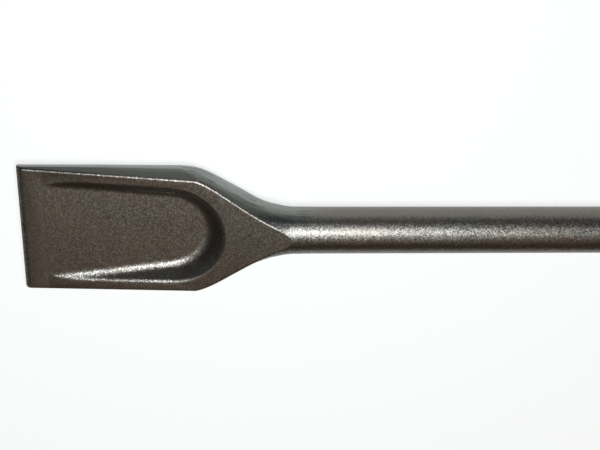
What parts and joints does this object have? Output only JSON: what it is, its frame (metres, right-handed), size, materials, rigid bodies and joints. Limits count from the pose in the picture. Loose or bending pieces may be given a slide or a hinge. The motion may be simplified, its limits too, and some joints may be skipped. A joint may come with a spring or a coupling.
{
  "type": "flat chisel",
  "caption": "Wide flat chisel with a scooped blade, a flared neck and a round body that ends in a slotted hammer-drill shank.",
  "frame": {"origin": "centre of the flat end face of the shank, which the hammer strikes", "axes": "+X runs along the tool from the struck end to the cutting edge, +Y is across the blade, +Z stands off the scooped face"},
  "size_m": [0.25, 0.041, 0.0141],
  "materials": {
    "steel": "forged, hardened and shot-blasted to a fine dark grain"
  },
  "bodies": {
    "root": {"chisel": "steel"}
  },
  "joints": []
}
